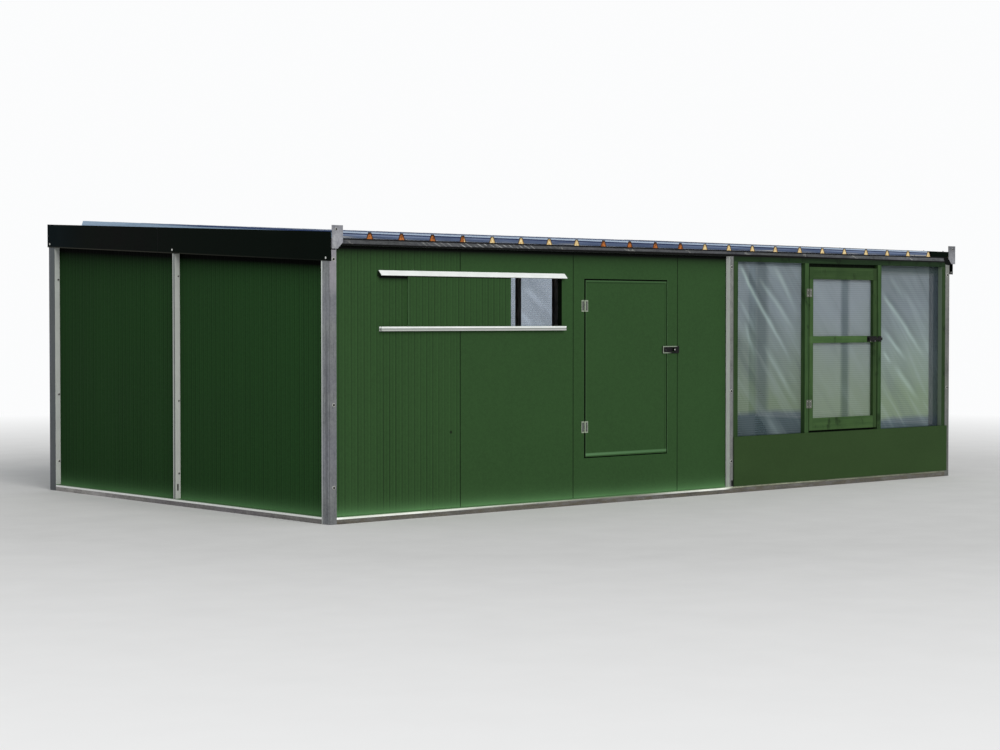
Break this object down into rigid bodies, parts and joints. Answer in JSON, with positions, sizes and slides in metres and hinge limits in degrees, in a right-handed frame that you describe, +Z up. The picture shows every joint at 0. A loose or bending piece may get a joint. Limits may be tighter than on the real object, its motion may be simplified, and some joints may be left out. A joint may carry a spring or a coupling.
{
  "type": "poultry shed",
  "caption": "Low mono-pitch shed: an insulated metal house with a sliding shutter window and a door, and a translucent timber-framed shelter beside it with a framed door.",
  "frame": {"origin": "on the ground, in the middle of the shed's overall outline", "axes": "+X along the front towards the shelter end, +Y from the front towards the back, +Z up"},
  "size_m": [6.246, 3.54, 2.002],
  "materials": {
    "galvanised": "dull mottled zinc with rust marks at the bolts",
    "bright_trim": "plain light metal",
    "green_panel": "satin dark green coating, shallow ribs",
    "green_timber": "matt green paint over sawn grain",
    "bare_timber": "untreated sawn timber",
    "green_board": "smooth green paint",
    "translucent_sheet": "cloudy, fine horizontal lines",
    "dark_ironmongery": "black, worn at the edges",
    "roof_steel": "weathered blue-grey coating",
    "foam": "yellowed foam",
    "black_flashing": "satin black coating"
  },
  "bodies": {
    "shed": {"base_rails_long": "galvanised", "base_rails_cross": "galvanised", "sill_strips": "bright_trim", "corner_post_front_left": "galvanised", "corner_post_front_right": "galvanised", "corner_posts_back": "galvanised", "middle_posts": "galvanised", "corner_plates": "galvanised", "eave_rails": "galvanised", "roof_cross_rails": "galvanised", "roof_purlins": "galvanised", "front_panel_1": "green_panel", "front_panel_2": "green_panel", "front_panel_3_left": "green_panel", "front_panel_3_right": "green_panel", "front_panel_3_above_and_below_door": "green_panel", "front_panel_4": "green_panel", "left_wall_panels": "green_panel", "back_wall_panels": "green_panel", "window_runners": "bright_trim", "window_shutter": "green_panel", "house_door_fixings": "galvanised", "shelter_front_rails": "green_timber", "shelter_front_uprights": "green_timber", "shelter_front_sheets": "translucent_sheet", "shelter_door_stops": "green_timber", "shelter_rear_rails": "green_timber", "shelter_rear_uprights": "green_timber", "shelter_rear_sheets": "translucent_sheet", "shelter_lower_boards": "green_board", "shelter_door_fixings": "dark_ironmongery", "partition_rails": "bare_timber", "partition_uprights": "bare_timber", "partition_sheet": "translucent_sheet", "roof_sheet_left": "roof_steel", "roof_sheet_middle": "roof_steel", "roof_sheet_right": "roof_steel", "eave_foam_fillers": "foam", "barge_flashings": "black_flashing"},
    "house_door_leaf": {"house_door": "green_panel", "house_door_hardware": "galvanised"},
    "shelter_door_leaf": {"shelter_door_frame": "green_timber", "shelter_door_pane": "translucent_sheet", "shelter_door_hardware": "dark_ironmongery"}
  },
  "joints": [
    {"name": "house_door_hinge", "type": "hinge", "parent": "shed", "child": "house_door_leaf", "pos_m": [-0.941, -1.716, 0.94], "axis": [0, 0, -1], "range_deg": [0, 100]},
    {"name": "shelter_door_hinge", "type": "hinge", "parent": "shed", "child": "shelter_door_leaf", "pos_m": [1.338, -1.756, 1.04], "axis": [0, 0, -1], "range_deg": [0, 100]}
  ]
}
